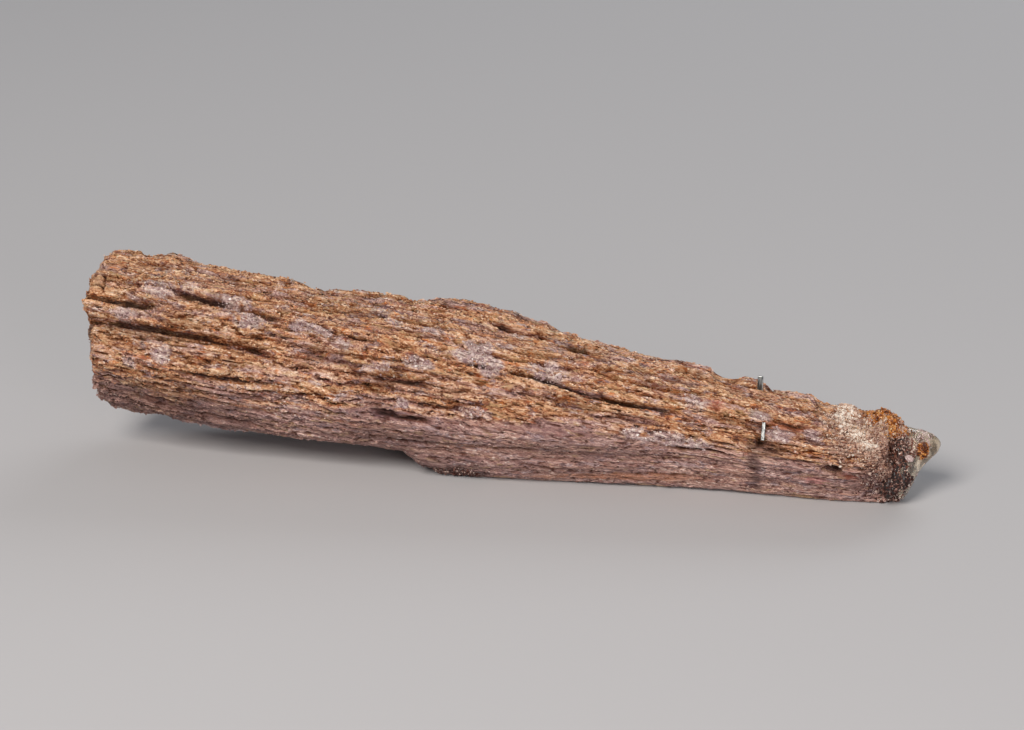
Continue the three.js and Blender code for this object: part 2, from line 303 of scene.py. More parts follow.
def axis_at(x):
    """The fibres' axis at an array of X."""
    return np.stack([x, np.interp(x, AXIS[:, 0], AXIS[:, 1]), np.interp(x, AXIS[:, 0], AXIS[:, 2])], -1)


def turned(facing, towards):
    """How far a facing is from another, in radians from -pi to pi. Both are given in radians."""
    return (facing - towards + np.pi) % (2 * np.pi) - np.pi


class Places:
    """Points on the crystal's surface: X, facing, radius from the axis, and share of the flank's radius."""

    def __init__(self, x, facing, radius, share):
        self.x, self.facing, self.radius, self.share = x, facing, radius, share
        around = np.stack([np.cos(facing), np.sin(facing)], -1)
        self.taper = np.concatenate([x[:, None], around * share[:, None] * GRAIN_RADIUS], 1)
        self.true = np.concatenate([x[:, None], around * radius[:, None]], 1)
        warp = 0.5 * streaks(self.taper, 7, 3, 1)
        warp += 0.10 * streaks(self.true, 2.4, 1.2, 2)
        swing = np.stack([0.5 * streaks(self.true, 1.5, 0.6, 3), warp, -warp], -1)
        self.taper = self.taper + swing
        self.true = self.true + swing
        degrees = np.degrees(facing) % 360
        self.fine = self.fineness(degrees)
        self.mauve = self.pinkness(degrees)

    def fineness(self, degrees):
        """Where the fibres are whole and fine: the front, towards the thin end."""
        upper = 165 - 12 * smoothstep(-5, 5, self.x)
        front = smoothstep(upper, upper + 30, degrees) * (1 - smoothstep(262, 285, degrees))
        return front * smoothstep(-34, -2, self.x) * self.share

    def pinkness(self, degrees):
        """Where the fibres are mauve: low on the crystal, behind a ragged border, and in some bundles."""
        wander = 26 * streaks(self.taper, 9, 1.6, 5)
        wander += 15 * streaks(self.taper, 16, 0.45, 7)
        wander /= np.maximum(self.share, 0.25)
        start = 168 + 24 * (1 - smoothstep(-22, -2, self.x))
        low = smoothstep(start - 14, start + 14, degrees + wander)
        low *= 1 - smoothstep(318, 345, degrees + wander)
        patches = smoothstep(0.20, 0.46, streaks(self.taper, 8, 1.3, 6))
        return np.clip(low + 0.45 * patches, 0, 1)

    def from_middle(self, x, facing, length, width):
        """How far each point is from the middle of an oval on the surface, where 1 is the oval's edge."""
        across = turned(self.facing, math.radians(facing)) * self.radius
        return np.hypot((self.x - x) / (length / 2), across / (width / 2))

    def spot(self, x, facing, length, width, soft=0.45):
        """1 in the middle of an oval spot on the surface, and 0 outside it."""
        return (1 - smoothstep(soft, 1.0, self.from_middle(x, facing, length, width))) * (self.share > 0.6)

    def covered(self, patches, longer=1.0, wider=1.0, soft=0.1, ragged=1.0, gain=1.0):
        """How much soft oval patches cover each point: 1 is all, where a patch's strength is 1."""
        total = np.zeros(len(self.x))
        for x, facing, length, width, strength in patches:
            mask = self.spot(x, facing, length * longer, width * wider, soft) * ragged * gain
            total = np.maximum(total, np.clip(mask, 0, 1) * strength)
        return total

    def quartz(self):
        """How much quartz there is among the fibres, from 0 to 1."""
        ragged = 1.0 + 1.3 * streaks(self.true, 0.55, 0.55, 8) + 0.8 * streaks(self.true, 0.25, 0.25, 9)
        return self.covered(QUARTZ_PATCHES, 1.5, 1.7, 0.2, ragged, 1.5)

    def stain(self):
        """The surface's stains and patches of painted shade, as red, green, blue and strength."""
        result = np.zeros((len(self.x), 4))
        ragged = 1.0 + 1.3 * streaks(self.true, 1.3, 0.35, 11)
        for x, facing, length, width, colour, strength in STAINS_AND_SHADE:
            mask = np.clip(self.spot(x, facing, length * 1.3, width * 1.3, 0.1) * ragged * 1.3, 0, 1)
            mask = mask * strength
            stronger = mask > result[:, 3]
            result[stronger, :3] = linear(colour)[:3]
            result[:, 3] = np.maximum(result[:, 3], mask)
        return result

    def relief(self, quartz):
        """How far the surface stands out from the plain crystal. Where its grooves, holes, pits and splits
        get painted shade stays in self.hollow_shade.
        """
        rough = 1 - 0.8 * self.fine
        flank = smoothstep(0.8, 1.0, self.share)
        height = 0.14 + 0.14 * np.sin(self.facing) + 0.30 * streaks(self.taper, 18, 2.6, 20)
        ridges = np.abs(streaks(self.taper, 20, 1.1, 21))
        height -= 0.42 * rough * (0.22 - np.minimum(ridges, 0.22))
        sheets = (24 * self.facing / (2 * np.pi) + 1.4 * streaks(self.taper, 24, 2.4, 30)) % 1
        present = smoothstep(-0.12, 0.22, streaks(self.taper, 8, 1.6, 31))
        height += 0.20 * flank * rough * present * (smoothstep(0.0, 0.12, sheets) * (1 - sheets) - 0.4)
        split = self.split(height, rough)
        height += 0.10 * streaks(self.true, 0.5, 0.25, 25)
        pits = smoothstep(0.27, 0.35, streaks(self.true, 0.7, 0.2, 32))
        height -= (0.24 - 0.10 * self.fine) * pits
        height += 0.08 * self.fine * streaks(self.taper, 9.0, 0.22, 26)
        # Painted shade: the grooves, holes, pits and splits are marked here to be darkened in the material.
        hollow_shade = self.groove(height, 0.25 + 0.75 * flank)
        for x, facing, length, width, depth in HOLES:
            mask = self.spot(x, facing, length * 1.3, width * 1.3)
            height -= depth * mask
            hollow_shade = np.maximum(hollow_shade, mask)
        self.hollow_shade = np.maximum.reduce([hollow_shade, 0.8 * pits, 0.75 * split])
        for x, facing, length, width, depth in DENTS:
            height -= depth * np.clip(1 - self.from_middle(x, facing, length, width) ** 2, 0, 1) ** 2
        crumbs = 0.22 * streaks(self.true, 0.45, 0.45, 28) + 0.16 * streaks(self.true, 0.22, 0.22, 29)
        height -= 0.12 * (1 - smoothstep(LOW_X + 0.2, LOW_X + 2.2, self.x))
        height = (height * (1 - 0.7 * quartz) + quartz * (crumbs + 0.06)) * (0.5 + 0.5 * flank)
        return height + self.broken_end() * (1 - flank)

    def split(self, height, rough):
        """Lowers the height between bundles, fibres and crumbs, and says how deep the splits are."""
        deepest = 0.0
        for points, length, width, step, gap, seed in (
            (self.taper, 18.0, 0.85, 0.12, 0.17, 22), (self.taper, 8.0, 0.44, 0.09, 0.16, 23),
            (self.true, 1.5, 0.27, 0.10, 0.10, 24),
        ):
            value, edge = cells(points, length, width, seed)
            height += rough * step * (value - 0.5)
            some = 0.15 + 0.85 * smoothstep(-0.05, 0.25, streaks(points, 9.0, 2.0, seed + 20))
            crack = some * (1 - smoothstep(0.03, 0.20, edge))
            height -= rough * gap * crack
            deepest = np.maximum(deepest, crack * rough * min(1.0, gap * 5))
        return deepest

    def groove(self, height, along):
        """Cuts the long grooves into the height, with a lip where they face up, and says where they get
        painted shade.
        """
        wander = 0.5 * streaks(self.taper, 5, 12, 27)
        uneven = 0.55 + 0.45 * smoothstep(-0.25, 0.05, streaks(self.taper, 2.2, 1.0, 33))
        hollow_shade = np.zeros(len(self.x))
        for width, depth, *course in GROOVES:
            start, stop = course[0][0], course[-1][0]
            middle = np.interp(self.x, *zip(*course))
            ledge = np.interp(middle, (50, 70, 92, 115), (0, 1, 1, 0))
            length = smoothstep(start - 0.3, start + 1.5, self.x) * (1 - smoothstep(stop - 2.0, stop, self.x))
            length *= along
            across = turned(self.facing, np.radians(middle)) * self.radius + wander * width
            sloped = np.where(across > 0, across / (1 + 0.9 * ledge), -across)
            height -= depth * length * (1 - smoothstep(0.25 * width, 0.9 * width, sloped))
            height += 0.15 * depth * length * ledge * np.exp(-((across / width + 1.2) / 0.5) ** 2)
            # Painted shade: a narrow dark line along each groove, moved under the lip where it faces up.
            dark = 1 - smoothstep(0.35 * width, 0.62 * width, np.abs(across + 0.25 * width * ledge))
            hollow_shade = np.maximum(hollow_shade, length * uneven * dark)
        return hollow_shade

    def broken_end(self):
        """The height of an end's broken face: bundles of fibres that snapped at different lengths."""
        bundle, rim = cells(self.true, 40, 1.3, 34)
        height = 0.5 * bundle + 0.8 * streaks(self.true, 2.6, 2.6, 35)
        height += 0.3 * streaks(self.true, 0.8, 0.8, 36)
        height = height - 0.55 - 0.15 * (1 - smoothstep(0.0, 0.2, rim))
        return height * np.where(self.x < 0, 1.0, 0.5)


def stations(rings):
    """Each ring's middle on the axis, its rays' radial and axial parts, and the flank's end rings."""
    cap_thick, cap_thin = round(rings * THICK_RINGS), round(rings * THIN_RINGS)
    flank = rings - cap_thick - cap_thin
    x = np.linspace(LOW_X + CAP_DEPTH, HIGH_X - CAP_DEPTH, flank)

    def cap(count, radius, sign):
        arc = (np.arange(count) + 1) / (count + 0.5) * (CAP_DEPTH + radius)
        radial = np.where(arc < CAP_DEPTH, radius, radius - (arc - CAP_DEPTH))
        return unit(np.stack([radial, np.minimum(arc, CAP_DEPTH) * sign], -1))

    thick = cap(cap_thick, THICK_RADIUS, -1)
    thin = cap(cap_thin, THIN_RADIUS, 1)
    middles = np.concatenate([np.full(cap_thick, x[0]), x, np.full(cap_thin, x[-1])])
    aims = np.concatenate([thick[::-1], np.tile((1.0, 0.0), (flank, 1)), thin])
    return axis_at(middles), aims, cap_thick, cap_thick + flank - 1


def cast_rays(rings, sides, centres, aim):
    """Where rays from each ring's middle meet the crystal's CAD node."""
    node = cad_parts[CRYSTAL]
    corners = [v.co / MM for v in node.data.vertices]
    tree = BVHTree.FromPolygons(corners, [p.vertices for p in node.data.polygons])
    hits = np.empty((rings, sides, 3))
    for i in range(rings):
        for j in range(sides):
            hits[i, j] = tree.ray_cast(Vector(centres[i]), Vector(aim[i, j]))[0]
    return hits


class Skin:
    """The crystal's relieved surface: rings of points round it from the thick end to the thin one."""

    def __init__(self, rings, sides, strength):
        facing = np.arange(sides) * 2 * np.pi / sides
        outward = np.stack([np.zeros(sides), np.cos(facing), np.sin(facing)], -1)
        centres, aims, first, last = stations(rings)
        aim = aims[:, None, 0:1] * outward[None] + aims[:, None, 1:2] * np.array([1.0, 0, 0])
        base = cast_rays(rings, sides, centres, aim)
        for _ in range(BASE_PASSES):
            base[1:-1] = 0.5 * base[1:-1] + 0.5 * neighbours(base)[1:-1]
        on_thick_end = smoothstep(first, first * 0.7, np.arange(rings))[:, None, None]
        for _ in range(END_PASSES):
            base += 0.5 * on_thick_end * (neighbours(base) - base)
        offset = base - centres[:, None]
        radius = np.hypot(offset[..., 1], offset[..., 2])
        share = np.ones((rings, sides))
        share[:first] = np.minimum(radius[:first] / radius[first], 1)
        share[last + 1:] = np.minimum(radius[last + 1:] / radius[last], 1)
        facings = np.broadcast_to(facing, (rings, sides))
        self.places = Places(base[..., 0].ravel(), facings.ravel(), radius.ravel(), share.ravel())
        self.quartz = self.places.quartz()
        self.stain = self.places.stain()
        height = self.places.relief(self.quartz).reshape(rings, sides) * strength
        on_cap = 1 - smoothstep(0.7, 0.98, share)
        for step in range(CAP_PASSES):
            even = 0.5 * on_cap * (step < 2.2 / np.maximum(share, 0.05) ** 2)
            height += even * (neighbours(height) - height)
        self.points = base + aim * height[..., None]
        self.grain = self.places.true + (aim * height[..., None]).reshape(-1, 3) * 1.5
        self.points[..., 2] = np.maximum(self.points[..., 2], RESTING_Z + 0.02 * (height - height.min()))
        # cavity is the painted shade: points below their neighbours and in the marked grooves, holes, pits
        # and splits get darkened, less on the broken ends.
        near = summed(height, 3) / 7
        around = summed(height, 10) / 21
        calm = 1 - 0.6 * on_cap.ravel()
        deep = np.clip(np.maximum((near - height) / 0.16, (around - height - 0.05) / 0.40), 0, 1).ravel()
        self.cavity = np.maximum(deep, self.places.hollow_shade) * calm
        self.ridge = np.clip((height - around) / 0.20, -1, 1).ravel() * calm
        self.ends = self.points[0].mean(0), self.points[-1].mean(0)


@contextmanager
def editing(piece):
    """Edit mode, with all of one piece selected."""
    bpy.ops.object.select_all(action="DESELECT")
    piece.select_set(True)
    bpy.context.view_layer.objects.active = piece
    bpy.ops.object.mode_set(mode="EDIT")
    bpy.ops.mesh.select_all(action="SELECT")
    yield
    bpy.ops.object.mode_set(mode="OBJECT")


def finished(piece, name, material):
    """Names a piece, gives it its material, and lets it ride on the specimen."""
    piece.name = name
    piece.data.name = name
    piece.data.materials.clear()
    piece.data.materials.append(material)
    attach(piece, "root")
    return piece


def store(mesh, values):
    """Writes arrays on a mesh's points, as attributes for its material to read."""
    kinds = {1: ("FLOAT", "value"), 3: ("FLOAT_VECTOR", "vector"), 4: ("FLOAT_COLOR", "color")}
    for key, value in values.items():
        kind, field = kinds[1 if value.ndim == 1 else value.shape[1]]
        attribute = mesh.attributes.new(key, kind, "POINT")
        attribute.data.foreach_set(field, value.astype(np.float32).ravel())


def spindle(raggedness, seed):
    """Two four-sided cones base to base, one unit across and long, with their corners pushed about. The
    object is removed, and its points and triangles are returned as arrays."""
    bpy.ops.mesh.primitive_cone_add(
        vertices=4, radius1=0.5, radius2=0.0, depth=0.5, location=(0, 0, 0.25), end_fill_type="NOTHING")
    piece = bpy.context.active_object
    bpy.ops.object.transform_apply(location=True)
    for vertex in piece.data.vertices:
        vertex.select = vertex.co.z < 0.1
    for edge in piece.data.edges:
        edge.select = all(piece.data.vertices[v].select for v in edge.vertices)
    for face in piece.data.polygons:
        face.select = False
    bpy.ops.object.mode_set(mode="EDIT")
    bpy.ops.mesh.select_mode(type="EDGE")
    bpy.ops.mesh.extrude_region_move(TRANSFORM_OT_translate={"value": (0, 0, -0.5)})
    bpy.ops.mesh.merge(type="CENTER")
    bpy.ops.mesh.select_mode(type="VERT")
    bpy.ops.mesh.select_all(action="SELECT")
    bpy.ops.mesh.normals_make_consistent(inside=False)
    bpy.ops.transform.vertex_random(offset=raggedness, seed=seed)
    bpy.ops.object.mode_set(mode="OBJECT")
    points = np.array([v.co for v in piece.data.vertices])
    triangles = np.array([list(p.vertices) for p in piece.data.polygons])
    bpy.data.objects.remove(piece)
    return points, triangles


def joined(name, template, places, frames, sizes, values):
    """One mesh of many copies of a template, each with its own place, axes, size and attribute values."""
    points, triangles = template
    copies = np.einsum("nvi,nij->nvj", points[None] * sizes[:, None], frames) + places[:, None]
    faces = triangles[None] + (np.arange(len(places)) * len(points))[:, None, None]
    mesh = bpy.data.meshes.new(name)
    mesh.from_pydata((copies.reshape(-1, 3) * MM).tolist(), [], faces.reshape(-1, 3).tolist())
    store(mesh, {key: np.repeat(value, len(points), 0) for key, value in values.items()})
    piece = bpy.data.objects.new(name, mesh)
    bpy.context.scene.collection.objects.link(piece)
    return piece


def grains_of(name, kind, spots, frames, sizes, tones, material):
    """Adds one piece of many grains of a kind of spindle, each with its own tone."""
    piece = joined(name, spindle(*kind), spots, frames, sizes, {"tone": tones})
    finished(piece, name, material)


def toned(piece, tone):
    """Gives a whole piece one tone, for a material that is made for grains."""
    store(piece.data, {"tone": np.full(len(piece.data.vertices), tone)})
    return piece


def axes_from(along, out):
    """Right-handed axes, one row each, whose third follows along and whose first faces out."""
    third = unit(along)
    second = unit(np.cross(third, out))
    return np.stack([np.cross(second, third), second, third], 1)


def spun(frames, angles):
    """Axes turned about their own third axis."""
    cosine, sine = np.cos(angles)[:, None], np.sin(angles)[:, None]
    first, second, third = np.moveaxis(frames, 1, 0)
    return np.stack([first * cosine + second * sine, second * cosine - first * sine, third], 1)


def tumbled(random, out):
    """Axes for grains that lie about every way on a surface."""
    return spun(axes_from(random.normal(0, 1, out.shape), out), random.uniform(0, 6, len(out)))


def varied(random, usual, spread, low, high, count):
    """Grains' widths along their three axes, round a usual width."""
    return usual * np.exp(random.normal(0, spread, count))[:, None] * random.uniform(low, high, (count, 3))


def surface_spots(skin, weights, count, random):
    """Random grid points of the skin, where they are in millimetres, and the directions out of them."""
    along = np.gradient(skin.points, axis=0)
    around = np.roll(skin.points, -1, 1) - np.roll(skin.points, 1, 1)
    out = np.cross(along, around)
    area = np.linalg.norm(out, axis=2)
    radial = skin.points - axis_at(np.clip(skin.points[..., 0], LOW_X + 3, HIGH_X - 3))
    out *= np.sign((out * radial).sum(2))[..., None]
    chance = area.ravel() * weights
    chosen = random.choice(len(chance), count, p=chance / chance.sum())
    jitter = random.uniform(-0.5, 0.5, (count, 2))
    spots = skin.points.reshape(-1, 3)[chosen] + along.reshape(-1, 3)[chosen] * jitter[:, :1]
    spots += around.reshape(-1, 3)[chosen] * jitter[:, 1:] / 2
    return chosen, spots, unit(summed(out, 3).reshape(-1, 3)[chosen])


def mesh_spots(piece, chance, count, random):
    """Random points on a piece's faces, in millimetres, and the directions out of them. Chance gives each
    place its share of them."""
    piece.data.calc_loop_triangles()
    points = np.array([v.co for v in piece.data.vertices]) / MM
    corners = points[np.array([list(t.vertices) for t in piece.data.loop_triangles])]
    out = np.cross(corners[:, 1] - corners[:, 0], corners[:, 2] - corners[:, 0])
    area = np.linalg.norm(out, axis=1)
    weights = area * chance(corners.mean(1))
    chosen = random.choice(len(area), count, p=weights / weights.sum())
    root = np.sqrt(random.uniform(0, 1, (count, 1)))
    side = random.uniform(0, 1, (count, 1))
    shares = np.concatenate([1 - root, root * (1 - side), root * side], 1)
    return np.einsum("nij,ni->nj", corners[chosen], shares), out[chosen] / area[chosen][:, None]


def gathered(random, chosen, spots, out, *pieces):
    """Spots on the skin, followed by those on pieces: each piece, its chance and its count."""
    parts = [(spots, out)] + [mesh_spots(piece, chance, count, random) for piece, chance, count in pieces]
    return chosen, *(np.concatenate(part) for part in zip(*parts))


def everywhere(places):
    """An even chance of a grain all over a piece."""
    return np.ones(len(places))


def tint(colour):
    """A colour for a node: hex text is made linear, and anything else is left as it is."""
    return linear(colour) if isinstance(colour, str) else colour


def add(tree, kind, settings=None, sockets=None):
    """Adds a node, with its settings, and with a value or a link for each socket that is named."""
    made = tree.nodes.new(kind)
    for name, value in (settings or {}).items():
        setattr(made, name, value)
    for name, value in (sockets or {}).items():
        if isinstance(value, bpy.types.NodeSocket):
            tree.links.new(value, made.inputs[name])
        else:
            made.inputs[name].default_value = tint(value)
    return made


class Finish:
    """A new material, with a short method for each kind of node that the finishes share."""

    def __init__(self, name):
        self.material = bpy.data.materials.new(name)
        self.material.use_nodes = True
        self.tree = self.material.node_tree
        self.tree.nodes.clear()
        self.output = add(self.tree, "ShaderNodeOutputMaterial")

    def attribute(self, name, output="Fac"):
        """One of the values that store() wrote on the mesh's points."""
        return add(self.tree, "ShaderNodeAttribute", {"attribute_name": name}).outputs[output]

    def where(self):
        """Places on the object, in metres."""
        return add(self.tree, "ShaderNodeTexCoord").outputs["Object"]

    def scaled(self, places, scale):
        return add(self.tree, "ShaderNodeMapping", None, {"Vector": places, "Scale": scale}).outputs[0]

    def noise(self, places, scale, detail, roughness=0.5):
        return add(self.tree, "ShaderNodeTexNoise", None, {
            "Vector": places, "Scale": scale, "Detail": detail, "Roughness": roughness}).outputs["Fac"]

    def maths(self, operation, *values, clamp=False):
        settings = {"operation": operation, "use_clamp": clamp}
        return add(self.tree, "ShaderNodeMath", settings, dict(enumerate(values))).outputs[0]

    def plus(self, first, second):
        return self.maths("ADD", first, second)

    def minus(self, first, second):
        return self.maths("SUBTRACT", first, second)

    def times(self, first, second):
        return self.maths("MULTIPLY", first, second)

    def ranged(self, value, low, high, to_low=0.0, to_high=1.0):
        return add(self.tree, "ShaderNodeMapRange", None, {
            0: value, 1: low, 2: high, 3: to_low, 4: to_high}).outputs[0]

    def mixed(self, factor, first, second):
        """Two colours mixed."""
        return add(self.tree, "ShaderNodeMix", {"data_type": "RGBA"}, {
            0: factor, 6: first, 7: second}).outputs[2]

    def ramp(self, value, *stops):
        """A value made a colour, between stops of value and colour."""
        made = add(self.tree, "ShaderNodeValToRGB", None, {"Fac": value})
        elements = made.color_ramp.elements
        while len(elements) < len(stops):
            elements.new(0.5)
        for element, (position, colour) in zip(elements, stops):
            element.position = position
            element.color = tint(colour)
        return made.outputs["Color"]

    def bump(self, height, strength, depth):
        return add(self.tree, "ShaderNodeBump", None, {
            "Height": height, "Strength": strength, "Distance": depth * MM}).outputs[0]

    def shaded(self, sockets):
        """Ends the material with its surface shader."""
        shader = add(self.tree, "ShaderNodeBsdfPrincipled", None, sockets)
        self.tree.links.new(shader.outputs[0], self.output.inputs["Surface"])
        return self.material


def fibrous_rhabdophane(settings):
    """Rhabdophane, a hydrous phosphate, grown as fibres and weathered: earthy ochre to pinkish mauve, with a
    silky shine on whole fibres and a crumbly, rusty look between them. Its hollows are darkened as painted
    shade, and cream specks are painted glints."""
    finish = Finish("fibrous_rhabdophane")
    plus, minus, times, ranged, mixed, ramp = (
        finish.plus, finish.minus, finish.times, finish.ranged, finish.mixed, finish.ramp)
    grain = finish.attribute("grain", "Vector")
    cavity, quartz, mauve, ridge = map(finish.attribute, ("cavity", "quartz", "mauve", "ridge"))
    stain = add(finish.tree, "ShaderNodeAttribute", {"attribute_name": "stain"}).outputs
    stain_and_shade_colour, stain_and_shade_strength = stain["Color"], stain["Alpha"]

    def drawn_out(length, width, detail, roughness=0.6):
        """Noise drawn out along the grain: length and width of its features in millimetres."""
        places = finish.scaled(grain, (1 / length, 1 / width, 1 / width))
        return finish.noise(places, 1.0, detail, roughness)

    def crumbled(length, width):
        """Voronoi cells drawn out along the grain: distance from a cell's middle, and its own value."""
        voronoi = add(finish.tree, "ShaderNodeTexVoronoi", None, {
            "Vector": finish.scaled(grain, (1 / length, 1 / width, 1 / width)), "Scale": 1.0}).outputs
        value = add(finish.tree, "ShaderNodeSeparateColor", None, {"Color": voronoi["Color"]}).outputs[0]
        return voronoi["Distance"], value

    bundles = drawn_out(6.0, 0.9, 3.0)
    broad = drawn_out(9.0, 0.6, 2.0)
    patches = drawn_out(1.5, 0.6, 3.0)
    fibres = drawn_out(2.2, 0.19, 4.0, 0.7)
    lines = drawn_out(9.0, 0.12, 2.0)
    grit = drawn_out(0.17, 0.13, 3.0, 0.7)
    crumb, crumb_tone = crumbled(0.22, 0.16)
    pore, pore_tone = crumbled(0.46, 0.24)
    shade = plus(times(fibres, 0.44), times(grit, 0.60))
    shade = plus(shade, times(minus(lines, 0.5), ranged(mauve, 0.2, 0.8, 0.15, 0.35)))
    shade = plus(shade, times(minus(crumb_tone, 0.5), 0.26))
    shade = plus(shade, ranged(broad, 0.30, 0.70, -0.08, 0.08))
    shade = plus(shade, times(ridge, 0.06))
    calm = times(ranged(mauve, 0.3, 0.9, 0.94, 0.68), ranged(stain_and_shade_strength, 0.0, 0.8, 1.0, 0.7))
    shade = plus(times(minus(shade, 0.52), calm), 0.51)
    ochre = ramp(shade, (0.30, settings.gap_shade_colour), (0.41, settings.rust_colour),
                 (0.52, settings.ochre_colour), (0.66, settings.cream_colour), (0.80, "#F2DCC0"))
    pink = ramp(shade, (0.30, "#4C2F2B"), (0.42, "#835F5B"), (0.53, "#AB8780"),
                (0.66, "#D1B1A8"), (0.80, "#EBD6CA"))
    grey = ramp(shade, (0.30, "#3E3034"), (0.46, "#7D6A70"), (0.58, "#A8949A"), (0.75, "#D8CACA"))
    milky = ramp(shade, (0.36, "#80666A"), (0.50, "#BCA3A1"), (0.64, "#E2D5D0"))
    pinkness = finish.maths(
        "ADD", ranged(bundles, 0.50, 0.66), ranged(mauve, 0.25, 0.80, 0.0, 0.82), clamp=True)
    colour = mixed(pinkness, ochre, pink)
    colour = mixed(ranged(patches, 0.56, 0.66, 0.0, 0.75), colour, grey)
    colour = mixed(ranged(patches, 0.42, 0.34, 0.0, 0.5), colour, "#B89A6C")
    rusty = times(ranged(drawn_out(1.2, 0.40, 3.0), 0.58, 0.68), ranged(mauve, 0.9, 0.2, 0.20, 0.8))
    colour = mixed(rusty, colour, mixed(ranged(shade, 0.35, 0.6), "#9C4222", "#CC7E3C"))
    # Painted glints: the lightest crumbs are painted near white.
    painted_glint = times(ranged(crumb_tone, 0.93, 0.96), ranged(crumb, 0.45, 0.25))
    colour = mixed(times(painted_glint, 0.6), colour, "#F4E9DF")
    colour = mixed(times(stain_and_shade_strength, ranged(fibres, 0.3, 0.6, 1.0, 0.6)), colour, stain_and_shade_colour)
    colour = mixed(ranged(quartz, 0.15, 0.75, 0.0, 0.85), colour, milky)
    # Painted shade: the low places and the marked grooves, holes, pits and splits are darkened towards near
    # black.
    gap = mixed(times(stain_and_shade_strength, 0.7), settings.gap_shade_colour, "#2C1D1C")
    gap = mixed(ranged(cavity, 0.84, 0.98), gap, "#1C0D08")
    colour = mixed(ranged(cavity, 0.15, 1.0, 0.0, 0.88), colour, gap)
    # Painted shade: tiny pores darkened with the gap shade colour, as well as sunk by the bump.
    pores = times(ranged(pore, 0.30, 0.16), ranged(pore_tone, 0.62, 0.70))
    colour = mixed(times(pores, 0.85), colour, settings.gap_shade_colour)
    relief = plus(times(drawn_out(0.9, 0.10, 3.0), 0.5), times(grit, 0.9))
    relief = minus(minus(relief, times(crumb, 0.8)), pores)
    return finish.shaded({
        "Base Color": colour, "IOR": 1.65, "Normal": finish.bump(relief, 0.9, 0.12),
        "Roughness": minus(ranged(fibres, 0.35, 0.65, 0.78, 0.50), ranged(quartz, 0.2, 0.8, 0.0, 0.22)),
        "Specular IOR Level": ranged(cavity, 0.1, 0.6, 0.40, 0.06)})


def grain_finish(name, scale, detail, share, stops, sockets, bump=None):
    """A finish for scattered grains: each one's own tone, with a share of fine noise on it, as a colour."""
    finish = Finish(name)
    specks = finish.noise(finish.where(), scale, detail)
    tone = finish.maths("MULTIPLY_ADD", specks, share, finish.attribute("tone"))
    sockets = {"Base Color": finish.ramp(tone, *stops), **sockets}
    if bump:
        sockets["Normal"] = finish.bump(specks, *bump)
    return finish.shaded(sockets)


def milky_quartz():
    """Quartz in broken grains: glassy, cloudy white to lilac grey, sparkling where a face is clean. Its near
    white top tone makes painted glints on a few grains.
    """
    return grain_finish(
        "milky_quartz", 4000.0, 2.0, 0.5,
        [(0.20, "#957A7C"), (0.50, "#C2AAA8"), (0.80, "#E4D6D2"), (1.0, "#FBF8F5")],
        {"Roughness": 0.22, "IOR": QUARTZ_IOR, "Transmission Weight": 0.10}, bump=(0.5, 0.03))


def crumbly_crust():
    """A crust of fine crystals, iron-stained in places: chalky cream grains with glassy specks."""
    return grain_finish(
        "crumbly_crust", 5000.0, 3.0, 0.6,
        [(0.20, "#4A2A22"), (0.38, "#8C6455"), (0.58, "#B89584"), (0.82, "#DCC7B6"), (1.0, "#F5ECE1")],
        {"Roughness": 0.42, "IOR": 1.55, "Transmission Weight": 0.15}, bump=(0.8, 0.05))


def dark_druse():
    """Tiny iron-stained crystals lining the broken end: dark red-brown, sparkling, with a pale top tone that
    makes painted glints on a few grains.
    """
    return grain_finish(
        "dark_druse", 3500.0, 3.0, 0.5,
        [(0.35, "#1E0D09"), (0.55, "#52261B"), (0.75, "#875646"), (0.98, "#CDB4A8")],
        {"Roughness": 0.32, "IOR": 1.56, "Transmission Weight": 0.2})


def clear_quartz(settings):
    """Clear quartz, broken: colourless to the faintest straw, with curved glossy breaks and a thin veil."""
    finish = Finish("clear_quartz")
    ripple = finish.noise(finish.where(), 1400.0, 3.0)
    return finish.shaded({
        "Base Color": settings.clear_colour, "Roughness": finish.ranged(ripple, 0.45, 0.7, 0.01, 0.12),
        "IOR": QUARTZ_IOR, "Transmission Weight": finish.ranged(ripple, 0.40, 0.64, 0.90, 0.50),
        "Normal": finish.bump(ripple, 0.2, 0.05)})


def iron_stained_quartz(settings):
    """Quartz coloured through by iron: honey to orange brown, glowing where it is thin."""
    finish = Finish("iron_stained_quartz")
    cloud = finish.noise(finish.where(), 1600.0, 5.0, 0.7)
    colour = finish.ramp(finish.maths("MULTIPLY_ADD", finish.attribute("tone"), 0.35, cloud),
                         (0.32, "#5A2C16"), (0.46, settings.honey_colour), (0.58, "#DC9442"),
                         (0.74, "#EBCB9C"))
    return finish.shaded({
        "Base Color": colour, "Roughness": 0.25, "IOR": QUARTZ_IOR, "Transmission Weight": 0.25,
        "Normal": finish.bump(cloud, 1.0, 0.12)})


def grey_metal():
    """Drawn steel, dull from handling: its own grey, set darker as painted shade, with fine lines along it.
    """
    finish = Finish("grey_metal")
    wear = finish.noise(finish.scaled(finish.where(), (9000, 9000, 700)), 1.0, 3.0)
    return finish.shaded({
        "Base Color": finish.ramp(wear, (0.3, "#565A5C"), (0.7, "#B8BCBC")), "Metallic": 1.0,
        "Roughness": finish.ranged(wear, 0.0, 1.0, 0.25, 0.5)})


def matt_paper(settings):
    """The floor's paper: pale grey and matt, with the slightest tooth."""
    finish = Finish("matt_paper")
    tooth = finish.noise(finish.where(), 900.0, 2.0)
    return finish.shaded({
        "Base Color": settings.floor_colour, "Roughness": 0.8,
        "Normal": finish.bump(tooth, 0.05, 0.1)})


def colour_of(name, description, text):
    return FloatVectorProperty(
        name=name, description=description, subtype="COLOR", size=4, default=linear(text))


def length_of(name, description, millimetres):
    return FloatProperty(name=name, description=description, unit="LENGTH", default=millimetres * MM)


